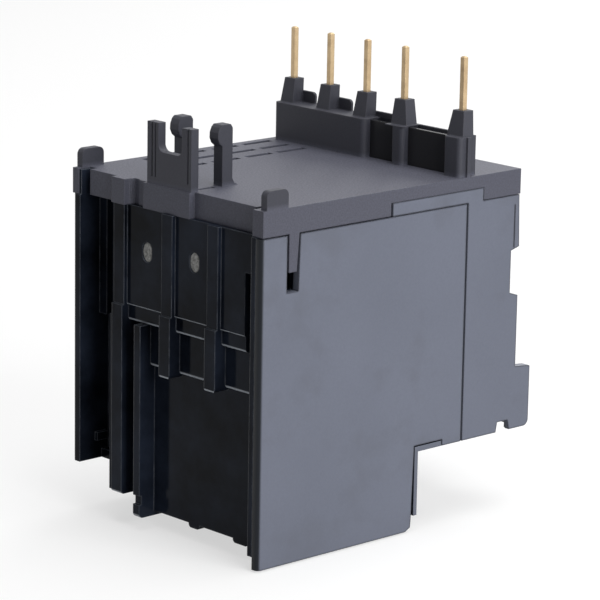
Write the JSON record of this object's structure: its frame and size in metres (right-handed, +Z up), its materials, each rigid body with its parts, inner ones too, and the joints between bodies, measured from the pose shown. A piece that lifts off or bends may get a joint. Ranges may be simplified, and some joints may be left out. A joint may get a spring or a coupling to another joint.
{
  "type": "thermal overload relay",
  "caption": "Plug-on thermal overload relay with contact pins on top, snap hooks, a stepped rear, screw terminals and a setting dial under a clear flap.",
  "frame": {"origin": "Mid-width, on the row of contact pins, at the level of the tops of the pin posts.", "axes": "+Z up along the pins, -Y to the operator's side with the dial and terminals, +Y to the mounting plane, X across the poles."},
  "size_m": [0.045, 0.0658, 0.0752],
  "materials": {
    "casing_black": "smooth moulded black with a shine",
    "cover_black": "smooth moulded black, semi-gloss",
    "cap_grey": "fine-textured dark grey",
    "front_black": "smooth moulded black",
    "panel_grey": "mid grey moulded panel",
    "inner_plastic": "natural engineering plastic",
    "slider_plastic": "natural engineering plastic",
    "carrier_plastic": "dark engineering plastic",
    "pin_brass": "tinned pale brass",
    "contact_brass": "plain copper alloy",
    "screw_steel": "zinc-plated steel",
    "spring_steel": "spring wire",
    "bimetal": "rolled bimetal strip",
    "heater_alloy": "resistance alloy ribbon",
    "sleeve_glass": "woven glass sleeve",
    "flag_orange": "signal orange",
    "dial_white": "white moulded dial",
    "clear_cover": "clear moulded plastic flap",
    "reset_blue": "blue moulded cap",
    "stop_red": "red moulded button",
    "test_grey": "light grey slide"
  },
  "bodies": {
    "housing": {"rear_casing": "casing_black", "side_cover": "cover_black", "top_cap": "cap_grey", "socket_screen": "cover_black", "front_housing": "front_black", "front_cover": "panel_grey", "mechanism_plate": "inner_plastic", "coil_conductor": "pin_brass", "aux_conductor": "pin_brass", "main_screws": "screw_steel", "main_washers": "screw_steel", "aux_screws": "screw_steel", "aux_washers": "screw_steel", "nc_terminal_1": "contact_brass", "nc_terminal_2": "contact_brass", "no_terminal_1": "contact_brass", "no_terminal_2": "contact_brass", "pivot_pins": "screw_steel", "reset_spring": "spring_steel", "stop_spring": "spring_steel", "main_conductor_1": "pin_brass", "load_bar_1": "contact_brass", "main_conductor_2": "pin_brass", "load_bar_2": "contact_brass", "main_conductor_3": "pin_brass", "load_bar_3": "contact_brass"},
    "pole_1": {"bimetal_1": "bimetal", "heater_sleeve_1": "sleeve_glass", "heater_1": "heater_alloy"},
    "pole_2": {"bimetal_2": "bimetal", "heater_sleeve_2": "sleeve_glass", "heater_2": "heater_alloy"},
    "pole_3": {"bimetal_3": "bimetal", "heater_sleeve_3": "sleeve_glass", "heater_3": "heater_alloy"},
    "trip_slider": {"trip_slider": "slider_plastic"},
    "differential_slider": {"differential_slider": "slider_plastic"},
    "compensation": {"compensation_lever": "inner_plastic", "compensation_strip": "bimetal"},
    "trip_lever": {"trip_lever": "inner_plastic"},
    "carrier": {"contact_carrier": "carrier_plastic", "nc_bridge": "contact_brass", "no_bridge": "contact_brass", "trip_flag": "flag_orange"},
    "dial": {"dial": "dial_white", "setting_cam": "inner_plastic"},
    "setting_lever": {"setting_lever": "inner_plastic"},
    "dial_cover": {"dial_cover": "clear_cover"},
    "reset_plunger": {"reset_plunger": "carrier_plastic"},
    "reset_button": {"reset_button": "reset_blue"},
    "stop_button": {"stop_button": "stop_red"},
    "test_slide": {"test_slide": "test_grey"}
  },
  "joints": [
    {"name": "trip_slide", "type": "slide", "parent": "housing", "child": "trip_slider", "axis": [-1, 0, 0], "range_m": [0, 0.0016], "stiffness_N_per_m": 300},
    {"name": "differential_slide", "type": "slide", "parent": "housing", "child": "differential_slider", "axis": [-1, 0, 0], "range_m": [0, 0.0016]},
    {"name": "bimetal_bend_1", "type": "hinge", "parent": "housing", "child": "pole_1", "pos_m": [-0.0064, 0.0213, -0.0174], "axis": [0, 1, 0], "range_deg": [0, 2.5]},
    {"name": "bimetal_bend_2", "type": "hinge", "parent": "housing", "child": "pole_2", "pos_m": [0.00235, 0.0213, -0.0174], "axis": [0, 1, 0], "range_deg": [0, 2.5]},
    {"name": "bimetal_bend_3", "type": "hinge", "parent": "housing", "child": "pole_3", "pos_m": [0.0111, 0.0213, -0.0174], "axis": [0, 1, 0], "range_deg": [0, 2.5]},
    {"name": "compensation_turn", "type": "hinge", "parent": "housing", "child": "compensation", "pos_m": [-0.0152, 0.0213, -0.0286], "axis": [0, 1, 0], "range_deg": [0, 3.5]},
    {"name": "trip_turn", "type": "hinge", "parent": "housing", "child": "trip_lever", "pos_m": [-0.0104, -0.0013, -0.0261], "axis": [0, 1, 0], "range_deg": [0, 6.5]},
    {"name": "contact_slide", "type": "slide", "parent": "housing", "child": "carrier", "axis": [0, 0, -1], "range_m": [0, 0.0013]},
    {"name": "dial_turn", "type": "hinge", "parent": "housing", "child": "dial", "pos_m": [0.0094, -0.0147, -0.0326], "axis": [0, 1, 0], "range_deg": [-120, 120]},
    {"name": "setting_turn", "type": "hinge", "parent": "housing", "child": "setting_lever", "pos_m": [0.0056, -0.0063, -0.0372], "axis": [0, 1, 0], "range_deg": [-5.2, 5.2]},
    {"name": "cover_turn", "type": "hinge", "parent": "housing", "child": "dial_cover", "pos_m": [0.0098, -0.0179, -0.0404], "axis": [1, 0, 0], "range_deg": [0, 110]},
    {"name": "reset_press", "type": "slide", "parent": "housing", "child": "reset_plunger", "axis": [0, 1, 0], "range_m": [0, 0.002], "stiffness_N_per_m": 500, "springref_m": -0.002, "deforming": ["reset_spring"]},
    {"name": "reset_turn", "type": "hinge", "parent": "reset_plunger", "child": "reset_button", "pos_m": [-0.0066, -0.0177, -0.0296], "axis": [0, -1, 0], "range_deg": [0, 90]},
    {"name": "stop_press", "type": "slide", "parent": "housing", "child": "stop_button", "axis": [0, 1, 0], "range_m": [0, 0.0014], "stiffness_N_per_m": 500, "springref_m": -0.002, "deforming": ["stop_spring"]},
    {"name": "test_slide_move", "type": "slide", "parent": "housing", "child": "test_slide", "axis": [1, 0, 0], "range_m": [0, 0.0012]}
  ],
  "couplings": [
    {"joint": "differential_slide", "follows": "trip_slide", "ratio": 1},
    {"joint": "bimetal_bend_1", "follows": "trip_slide", "rad_per_m": 26.385},
    {"joint": "bimetal_bend_2", "follows": "trip_slide", "rad_per_m": 26.385},
    {"joint": "bimetal_bend_3", "follows": "trip_slide", "rad_per_m": 26.385},
    {"joint": "compensation_turn", "follows": "trip_slide", "rad_per_m": 37.383},
    {"joint": "trip_turn", "follows": "trip_slide", "rad_per_m": 68.5},
    {"joint": "contact_slide", "follows": "trip_slide", "ratio": 0.75},
    {"joint": "setting_turn", "follows": "dial_turn", "ratio": -0.0413}
  ]
}
